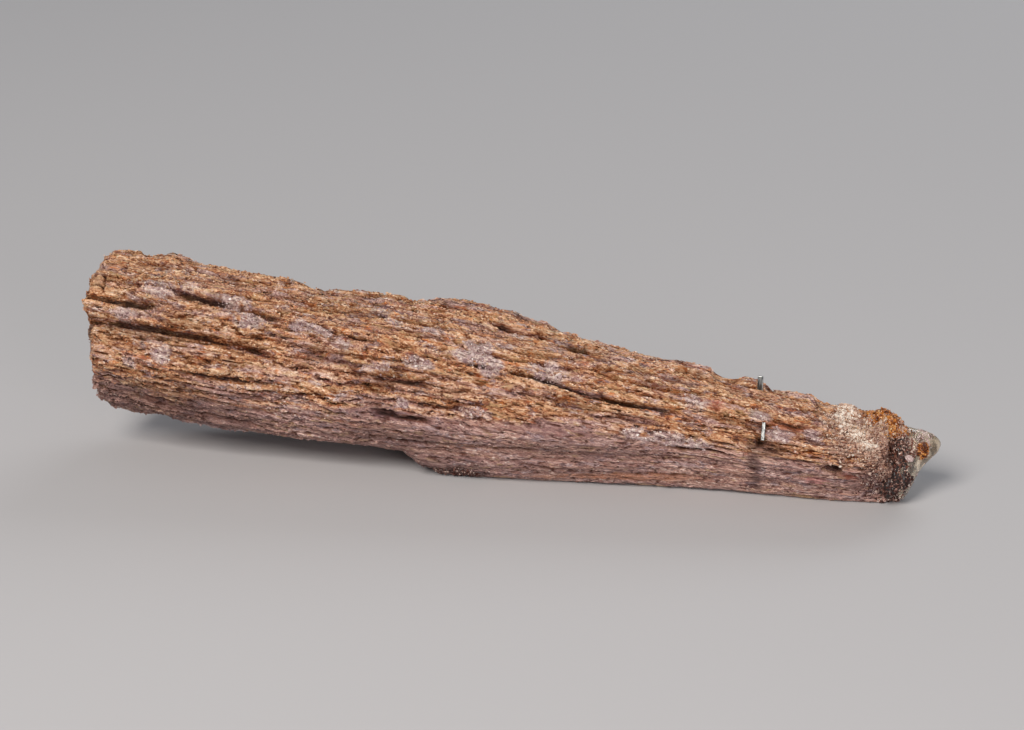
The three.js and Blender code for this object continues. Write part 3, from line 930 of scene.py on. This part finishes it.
def angle_of(name, description, degrees):
    return FloatProperty(name=name, description=description, subtype="ANGLE", default=math.radians(degrees))


class FibreSettings(bpy.types.PropertyGroup):
    """Sizes and colours of the fibrous crystal."""
    relief: FloatProperty(
        name="Relief", description="Height of the splintered surface, as a share of the full relief",
        default=1.0, min=0.0, max=1.5)
    splinters: IntProperty(
        name="Splinters", description="How many broken fibre ends stand on the surface",
        default=95000, min=100, max=100000)
    splinter_length: length_of("Splinter length", "Usual length of a broken fibre end", 0.18)
    splinter_width: length_of("Splinter width", "Usual width of a broken fibre end", 0.125)
    cream_colour: colour_of("Cream", "Clean broken fibres", "#DDB795")
    ochre_colour: colour_of("Ochre", "Most of the fibres", "#BB865E")
    rust_colour: colour_of("Rust", "Iron-stained fibres", "#8C5232")
    # Painted shade: the dark colour put in the hollows and pores between the fibres, and the darkest tone of
    # the fibres.
    gap_shade_colour: colour_of("Gaps", "Depths between the fibres", "#46200F")


class QuartzSettings(bpy.types.PropertyGroup):
    """Sizes and colours of the quartz."""
    grains: IntProperty(
        name="Grains", description="How many quartz grains sit among the fibres", default=5200, min=10)
    grain_size: length_of("Grain size", "Usual width of a quartz grain", 0.13)
    clear_colour: colour_of("Clear quartz", "Tint of the clear quartz", "#FFF0D8")
    honey_colour: colour_of("Iron-stained quartz", "Middle tone of the orange-brown quartz", "#B4662A")


class StageSettings(bpy.types.PropertyGroup):
    """The floor, the lights and the camera."""
    azimuth: angle_of("Azimuth", "How far the camera stands round to the right", 12.3)
    elevation: angle_of("Elevation", "How high the camera looks from", 22.0)
    distance: length_of("Distance", "From the camera to the specimen's middle", 214.2)
    view_angle: angle_of("View angle", "The camera's field of view across", 20.0)
    floor_colour: colour_of("Floor", "Colour of the floor", "#B9BABE")
    key_power: FloatProperty(
        name="Key light", description="Power of the large light overhead", unit="POWER", default=1.71)


built = {}                       # what later operators take from earlier ones


class SPECIMEN_OT_crystal(bpy.types.Operator):
    """Adds the fibrous crystal, from a sphere that is drawn on to the frame and given its relief"""
    bl_idname = "specimen.crystal"
    bl_label = "Fibrous crystal"

    rings: IntProperty(name="Rings", description="Rows of points along the crystal", default=262)
    sides: IntProperty(name="Sides", description="Points round the crystal", default=360)

    def execute(self, context):
        settings = context.scene.specimen_fibres
        skin = Skin(self.rings, self.sides, settings.relief)
        bpy.ops.mesh.primitive_uv_sphere_add(segments=self.sides, ring_count=self.rings + 1, radius=1.0)
        piece = context.active_object
        sphere = np.array([v.co for v in piece.data.vertices])
        ring = np.rint(np.arccos(np.clip(sphere[:, 2], -1, 1)) / np.pi * (self.rings + 1)).astype(int) - 1
        side = np.rint(np.arctan2(sphere[:, 1], sphere[:, 0]) / (2 * np.pi) * self.sides).astype(int)
        order = np.clip(ring, 0, self.rings - 1) * self.sides + side % self.sides
        placed = skin.points.reshape(-1, 3)[order]
        placed[ring < 0], placed[ring >= self.rings] = skin.ends
        piece.data.vertices.foreach_set("co", (placed * MM).astype(np.float32).ravel())
        piece.data.update()
        store(piece.data, {
            "grain": skin.grain[order], "cavity": skin.cavity[order], "quartz": skin.quartz[order],
            "mauve": skin.places.mauve[order], "ridge": skin.ridge[order], "stain": skin.stain[order],
        })
        with editing(piece):
            bpy.ops.mesh.normals_make_consistent(inside=False)
        bpy.ops.object.shade_smooth()
        built["skin"] = skin
        built["fibres"] = fibrous_rhabdophane(settings)
        finished(piece, "fibrous_crystal", built["fibres"])
        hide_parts(CRYSTAL)
        return {"FINISHED"}


class SPECIMEN_OT_splinters(bpy.types.Operator):
    """Adds the broken fibre ends that stand on the crystal, as copies of one tapered splinter"""
    bl_idname = "specimen.splinters"
    bl_label = "Fibre splinters"

    pieces: IntProperty(name="Pieces", description="How many meshes share the splinters", default=5)

    def execute(self, context):
        settings = context.scene.specimen_fibres
        skin = built["skin"]
        places = skin.places
        template = spindle(*SPLINTER)
        random = np.random.default_rng(SPLINTER_SEED)
        weights = (1 - 0.75 * skin.quartz) * (1 - 0.75 * places.fine) * (1 - 0.7 * skin.cavity)
        weights = weights * (0.5 + 0.5 * (places.share > 0.9))
        count = settings.splinters // self.pieces
        for number in range(self.pieces):
            chosen, spots, out = surface_spots(skin, weights, count, random)
            x, fine = places.x[chosen], places.fine[chosen]
            axis = unit(axis_at(x + 0.5) - axis_at(x - 0.5))
            grain = axis - out * (out * axis).sum(1)[:, None]
            lift = random.normal(0.0, 0.16, count)[:, None] * (1 - 0.6 * fine[:, None])
            sway = random.normal(0, 0.12, count)[:, None] * (1 - 0.75 * fine[:, None])
            on_end = np.linalg.norm(grain, axis=1) < 0.5 + 0.4 * (places.share[chosen] < 0.97)
            along = grain + out * lift + np.cross(grain, out) * sway
            outward = np.array([1.0, 0, 0]) + random.normal(0, 0.15, (count, 3))
            along = np.where(on_end[:, None], outward, along)
            reference = np.where(on_end[:, None], np.array([0, 0, 1.0]), out)
            frames = spun(axes_from(along, reference), random.uniform(-3, 3, count))
            thin = smoothstep(-14, 10, x)
            stretch = np.exp(random.normal(0, 0.35, count)) * (1 - 0.5 * on_end) * (1 + 0.5 * thin)
            width = settings.splinter_width / MM * np.exp(random.normal(0, 0.30, count)) * (1 - 0.2 * fine)
            width *= 1 - 0.2 * thin
            length = settings.splinter_length / MM * stretch * (1 + 0.8 * fine)
            sizes = np.stack([width * random.uniform(0.5, 0.9, count), width, length], -1)
            spots = spots + out * random.uniform(-0.075, -0.005, count)[:, None]
            spots[:, 2] = np.maximum(spots[:, 2], RESTING_Z + 0.5 * width + 0.12 * length)
            piece = joined(f"fibre_splinters_{number + 1}", template, spots, frames, sizes, {
                "grain": skin.grain[chosen] + random.uniform(-1, 1, (count, 3)) * (0.3, 0.08, 0.08),
                "cavity": skin.cavity[chosen], "ridge": skin.ridge[chosen],
                "quartz": skin.quartz[chosen] * 0.6, "mauve": places.mauve[chosen],
                "stain": skin.stain[chosen],
            })
            finished(piece, piece.name, built["fibres"])
        return {"FINISHED"}


class SPECIMEN_OT_quartz_grains(bpy.types.Operator):
    """Adds the quartz grains that sit in patches among the fibres, as copies of one angular chip"""
    bl_idname = "specimen.quartz_grains"
    bl_label = "Quartz grains"

    def execute(self, context):
        settings = context.scene.specimen_quartz
        skin = built["skin"]
        random = np.random.default_rng(QUARTZ_SEED)
        count = settings.grains
        spots, out = surface_spots(skin, skin.quartz ** 2, count, random)[1:]
        frames = spun(axes_from(random.normal(0, 1, (count, 3)), random.normal(0, 1, (count, 3))),
                      random.uniform(0, 6, count))
        sizes = varied(random, settings.grain_size / MM, 0.4, 0.6, 1.4, count)
        # Painted glints: about one grain in fourteen is raised to the near white top of the ramp.
        tones = random.uniform(-0.15, 0.35, count) + 0.5 * (random.uniform(0, 1, count) > 0.93)
        built["milky"] = milky_quartz()
        grains_of("quartz_grains", CHIP, spots - 0.05 * out, frames, sizes, tones, built["milky"])
        return {"FINISHED"}


class SPECIMEN_OT_quartz_tip(bpy.types.Operator):
    """Adds the clear broken quartz on the thin end, with the iron-stained quartz in it and above it"""
    bl_idname = "specimen.quartz_tip"
    bl_label = "Quartz tip"

    def execute(self, context):
        settings = context.scene.specimen_quartz
        built["honey"] = iron_stained_quartz(settings)
        built["druse"] = dark_druse()
        built["tip"] = self.clear_tip(context, settings)
        built["core"] = toned(self.lump("honey_inclusion", built["honey"]), -0.35)
        built["rim"] = self.lump("honey_rim", built["honey"])
        built["base"] = self.lump("druse_base", built["druse"])
        self.honey_grains(np.random.default_rng(HONEY_SEED))
        self.milky_grains(np.random.default_rng(MILKY_SEED))
        return {"FINISHED"}

    def clear_tip(self, context, settings):
        """Clear quartz: the CAD node, with its flats bent into curved breaks and a nose drawn out of it."""
        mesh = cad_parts[QUARTZ].data.copy()
        piece = bpy.data.objects.new("clear_quartz_tip", mesh)
        context.scene.collection.objects.link(piece)
        with editing(piece):
            bpy.ops.mesh.remove_doubles(threshold=0.001 * MM)
            bpy.ops.mesh.subdivide(number_cuts=5)
        centre = sum((v.co for v in mesh.vertices), Vector()) / len(mesh.vertices)
        for vertex in mesh.vertices:
            where = vertex.co / MM
            push = 0.24 * noise.noise(where * 0.9) + 0.06 * noise.noise(where * 2.6)
            vertex.co += (vertex.co - centre).normalized() * push * MM
            nose = 0.62 * math.exp(-((where.z - 3.7) / 0.55) ** 2)
            nose += 0.35 * math.exp(-((where.z - 0.9) / 0.9) ** 2)
            vertex.co.x += (nose * min(max((where.x - 28.6) / 1.4, 0), 1) - 0.34) * MM
            vertex.co.z -= 0.25 * max(where.z - 3.8, 0) * min(max(30.6 - where.x, 0), 1) * MM
        with editing(piece):
            bpy.ops.mesh.vertices_smooth(factor=0.5, repeat=5)
            bpy.ops.transform.shrink_fatten(value=0.10 * MM)
        bpy.ops.object.shade_smooth_by_angle(angle=math.radians(30))
        finished(piece, "clear_quartz_tip", clear_quartz(settings))
        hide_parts(QUARTZ)
        return piece

    def honey_grains(self, random):
        """Iron-stained grains: on the rim's crest, sealed in the tip, and on the crystal's shoulder."""
        rim, rim_out = mesh_spots(built["rim"], self.on_the_crest, HONEY_ON_RIM, random)
        sealed, sealed_out = mesh_spots(built["core"], everywhere, HONEY_IN_TIP, random)
        sealed += sealed_out * random.uniform(0, SEALED_DEPTH, (HONEY_IN_TIP, 1))
        skin = built["skin"]
        weights = skin.places.covered(HONEY_PATCHES)
        shoulder, shoulder_out = surface_spots(skin, weights, HONEY_ON_CRYSTAL, random)[1:]
        spots = np.concatenate([rim, sealed, shoulder])
        count = len(spots)
        frames = tumbled(random, np.concatenate([rim_out, sealed_out, shoulder_out]))
        sizes = varied(random, HONEY_GRAIN, 0.3, 0.5, 1.4, count)
        tones = random.uniform(-0.6, 0.5, count) - 0.25 * (spots[:, 0] > 29.4)
        grains_of("honey_grains", CHIP, spots, frames, sizes, tones, built["honey"])

    def milky_grains(self, random):
        """A knot of milky quartz on the tip's front, and the grains on it and along the tip's top."""
        knot = toned(self.lump("milky_knot", built["milky"]), 0.3)
        top, top_out = mesh_spots(built["tip"], self.milky_spots, MILKY_ON_TIP, random)
        ragged, ragged_out = mesh_spots(knot, everywhere, MILKY_ON_KNOT, random)
        spots = np.concatenate([top, ragged])
        frames = tumbled(random, np.concatenate([top_out, ragged_out]))
        sizes = MILKY_GRAIN * random.uniform(0.5, 1.4, spots.shape)
        tones = random.uniform(0.0, 0.5, len(spots))
        grains_of("milky_tip_grains", CHIP, spots, frames, sizes, tones, built["milky"])

    def on_the_crest(self, places):
        """Where loose-looking grains stand on the iron-stained rim: over its top and right side."""
        return smoothstep(5.5, 6.0, places[:, 2] + 0.55 * (places[:, 0] - 27))

    def milky_spots(self, places):
        """Where small milky grains sit on the clear quartz: along its top, and a few elsewhere."""
        return 0.01 + np.exp(-(np.linalg.norm(places - (30.4, 0.6, 5.0), axis=1) / 0.55) ** 2)

    def lump(self, name, material):
        """Adds a rounded broken lump of quartz."""
        centre, radii, slope, seed = LUMPS[name]
        bpy.ops.mesh.primitive_ico_sphere_add(subdivisions=5, radius=1.0)
        piece = bpy.context.active_object
        lean = Matrix.Rotation(math.radians(slope), 3, "Y")
        for vertex in piece.data.vertices:
            ridged = 1 + 0.24 * noise.noise(vertex.co * 1.6 + Vector((seed, 0, 0)))
            ridged += 0.22 * (0.4 - noise.voronoi(vertex.co * 3.0 + Vector((0, seed, 0)))[0][0])
            ridged += 0.07 * noise.noise(vertex.co * 11.0 + Vector((0, 0, seed)))
            vertex.co = (Vector(centre) + lean @ (Vector(vertex.co * ridged) * Vector(radii))) * MM
        bpy.ops.object.shade_smooth()
        return finished(piece, name, material)


class SPECIMEN_OT_crust(bpy.types.Operator):
    """Adds the cream crust by the thin end and the dark sparkling crystals on the end itself"""
    bl_idname = "specimen.crust"
    bl_label = "Crust and druse"

    def execute(self, context):
        skin = built["skin"]
        places = skin.places
        random = np.random.default_rng(COAT_SEED)
        height = skin.points[..., 2].ravel()
        cream = places.covered(CREAM_PATCHES)
        facing_up = np.abs(turned(places.facing, np.radians(150))) < 0.9
        edge = (places.x > HIGH_X - 1.6) * (height < 5.6) * facing_up
        crust = np.maximum.reduce([cream, places.covered(CRUST_PATCHES), 0.9 * edge])
        chosen, spots, out = gathered(
            random, *surface_spots(skin, crust, CRUST_ON_CRYSTAL, random),
            (built["rim"], self.on_the_rim, CRUST_ON_RIM),
            (built["base"], self.beside_the_crust, CRUST_ON_BASE))
        tones = np.concatenate([
            0.24 + 0.42 * cream[chosen], np.full(CRUST_ON_RIM, 0.32), np.full(CRUST_ON_BASE, 0.10)])
        tones += random.normal(0, 0.16, len(tones))
        tones -= 0.22 * smoothstep(26.8, 28.4, spots[:, 0]) * (spots[:, 2] < 5.2)
        self.scattered("cream_crust", spots, out, CRUST_GRAIN, tones, random, crumbly_crust())
        end = 0.2 + 0.8 * smoothstep(HIGH_X - 3.2, HIGH_X - 0.9, places.x)
        end *= places.x > HIGH_X - 3.4
        end *= 1 - 0.95 * smoothstep(4.9, 5.7, height)
        dark = end * (1 - crust) + 0.5 * places.covered(DRUSE_BY_THE_END)
        dark = np.maximum(dark, places.covered(DRUSE_UNDERNEATH))
        spots, out = gathered(
            random, *surface_spots(skin, dark, DRUSE_ON_CRYSTAL, random),
            (built["base"], self.on_the_base, DRUSE_ON_BASE),
            (built["tip"], self.on_the_tip, DRUSE_ON_TIP))[1:]
        # Painted glints: cubing the tones leaves a few grains on the pale top of the ramp.
        tones = random.uniform(-0.2, 0.9, len(spots)) ** 3 + 0.22
        tones[DRUSE_ON_CRYSTAL:] += 0.20 * smoothstep(2.8, 3.8, spots[DRUSE_ON_CRYSTAL:, 2])
        self.scattered("dark_druse", spots, out, DRUSE_GRAIN, tones, random, built["druse"])
        return {"FINISHED"}

    def on_the_rim(self, places):
        """Where the crust climbs on to the iron-stained rim: its front, below its crest."""
        x, y, z = places.T
        low = 1 - smoothstep(5.35, 6.45, z + 0.55 * (x - 27))
        joint = 0.5 * np.exp(-((x - HIGH_X + 0.1) / 0.4) ** 2) * (z < 6.0)
        return np.maximum.reduce([low * smoothstep(0.5, -0.2, y), joint, 0.4 * smoothstep(1.0, 1.4, y)])

    def beside_the_crust(self, places):
        """Where the crust thins out over the dark crystals: their base's upper left."""
        x, _, z = places.T
        return smoothstep(29.4, 28.2, x) * smoothstep(1.8, 3.6, z) * (x > 27.4)

    def on_the_base(self, places):
        """Where the dark crystals grow on their base: wherever it stands clear of the crystal's end."""
        return smoothstep(27.2, 27.8, places[:, 0])

    def on_the_tip(self, places):
        """Where the dark crystals grow on the clear quartz: all but its far edges, and less at the back."""
        x, y, z = places.T
        limit = np.interp(z, (0.0, 2.1, 3.4, 4.1, 4.9, 5.8), (29.1, 29.5, 29.6, 30.1, 29.9, 28.9))
        weight = 1 - smoothstep(-0.3, 0.1, x - limit)
        weight += 5 * np.exp(-(np.linalg.norm(places - (29.5, -0.55, 4.35), axis=1) / 0.7) ** 2)
        return weight * (1 - smoothstep(0.3, 0.9, y))

    def scattered(self, name, spots, out, size, tones, random, material):
        """Adds a coat of grains that stand out of the surface, each a little askew."""
        count = len(spots)
        frames = axes_from(out + random.normal(0, 0.6, (count, 3)), random.normal(0, 1, (count, 3)))
        sizes = varied(random, size, 0.35, 0.6, 1.3, count)
        spots[:, 2] = np.maximum(spots[:, 2], RESTING_Z + sizes.max(1) * 0.6)
        grains_of(name, POINTED_CHIP, spots, frames, sizes, tones, material)


class SPECIMEN_OT_laths(bpy.types.Operator):
    """Adds the two small grey metal laths in the crystal's upper side"""
    bl_idname = "specimen.laths"
    bl_label = "Metal laths"

    def execute(self, context):
        metal = grey_metal()
        for number, (place, size, lean) in enumerate(LATHS):
            bpy.ops.mesh.primitive_cube_add(size=1.0)
            piece = context.active_object
            leaned = Matrix.Rotation(-math.radians(lean), 3, "X")
            for vertex in piece.data.vertices:
                vertex.co = (Vector(place) + leaned @ (vertex.co * Vector(size))) * MM
            bevel = piece.modifiers.new("Worn edges", "BEVEL")
            bevel.width = 0.03 * MM
            bevel.segments = 2
            bpy.ops.object.modifier_apply(modifier="Worn edges")
            finished(piece, f"metal_lath_{number + 1}", metal)
        return {"FINISHED"}


class SPECIMEN_OT_stage(bpy.types.Operator):
    """Adds the pale floor, the soft lights and the camera"""
    bl_idname = "specimen.stage"
    bl_label = "Stage"

    def execute(self, context):
        settings = context.scene.specimen_stage
        low, high = (Vector(corner) for corner in CAD_BOX)
        middle = (low + high) / 2
        bpy.ops.mesh.primitive_plane_add(size=FLOOR_SIZE, location=(0, 0, low.z))
        floor = context.active_object
        floor.name = "floor"
        floor.data.materials.append(matt_paper(settings))
        for name, place, size, share, colour in LIGHTS:
            bpy.ops.object.light_add(type="AREA", location=place)
            light = context.active_object
            light.name = name
            light.data.size = size
            light.data.energy = settings.key_power * share
            light.data.color = linear(colour)[:3]
            light.rotation_euler = (middle - light.location).to_track_quat("-Z", "Y").to_euler()
        world = bpy.data.worlds.new("studio")
        world.use_nodes = True
        sky = world.node_tree.nodes["Background"].inputs
        sky["Color"].default_value = linear("#DADDE2")
        sky["Strength"].default_value = 0.28
        context.scene.world = world
        azimuth, elevation = settings.azimuth, settings.elevation
        away = Vector((math.sin(azimuth) * math.cos(elevation), -math.cos(azimuth) * math.cos(elevation),
                       math.sin(elevation)))
        aim = middle + Vector(AIM_FROM_MIDDLE) * MM
        bpy.ops.object.camera_add(location=aim + away * settings.distance)
        camera = context.active_object
        camera.rotation_euler = (-away).to_track_quat("-Z", "Y").to_euler()
        camera.data.angle = settings.view_angle
        camera.data.clip_start = 0.005
        context.scene.camera = camera
        context.scene.view_settings.view_transform = "Standard"
        return {"FINISHED"}


class SPECIMEN_PT_panel(bpy.types.Panel):
    """Lists the specimen's pieces in the order that they are added"""
    bl_idname = "SPECIMEN_PT_panel"
    bl_label = "Rhabdophane Specimen"
    bl_space_type = "VIEW_3D"
    bl_region_type = "UI"
    bl_category = "Specimen"

    def draw(self, context):
        for operator in OPERATORS:
            self.layout.operator(operator.bl_idname)
        for name in SETTINGS:
            box = self.layout.box()
            for key in getattr(context.scene, name).__annotations__:
                box.prop(getattr(context.scene, name), key)


OPERATORS = (
    SPECIMEN_OT_crystal, SPECIMEN_OT_splinters, SPECIMEN_OT_quartz_grains, SPECIMEN_OT_quartz_tip,
    SPECIMEN_OT_crust, SPECIMEN_OT_laths, SPECIMEN_OT_stage,
)
SETTINGS = {
    "specimen_fibres": FibreSettings, "specimen_quartz": QuartzSettings, "specimen_stage": StageSettings,
}


def register():
    for group in SETTINGS.values():
        bpy.utils.register_class(group)
    for operator in OPERATORS:
        bpy.utils.register_class(operator)
    bpy.utils.register_class(SPECIMEN_PT_panel)
    for name, group in SETTINGS.items():
        setattr(bpy.types.Scene, name, PointerProperty(type=group))


def unregister():
    for name in SETTINGS:
        delattr(bpy.types.Scene, name)
    bpy.utils.unregister_class(SPECIMEN_PT_panel)
    for operator in reversed(OPERATORS):
        bpy.utils.unregister_class(operator)
    for group in reversed(list(SETTINGS.values())):
        bpy.utils.unregister_class(group)


def main():
    register()
    bpy.ops.specimen.crystal()
    bpy.ops.specimen.splinters()
    bpy.ops.specimen.quartz_grains()
    bpy.ops.specimen.quartz_tip()
    bpy.ops.specimen.crust()
    bpy.ops.specimen.laths()
    bpy.ops.specimen.stage()


if __name__ == "__main__":
    main()
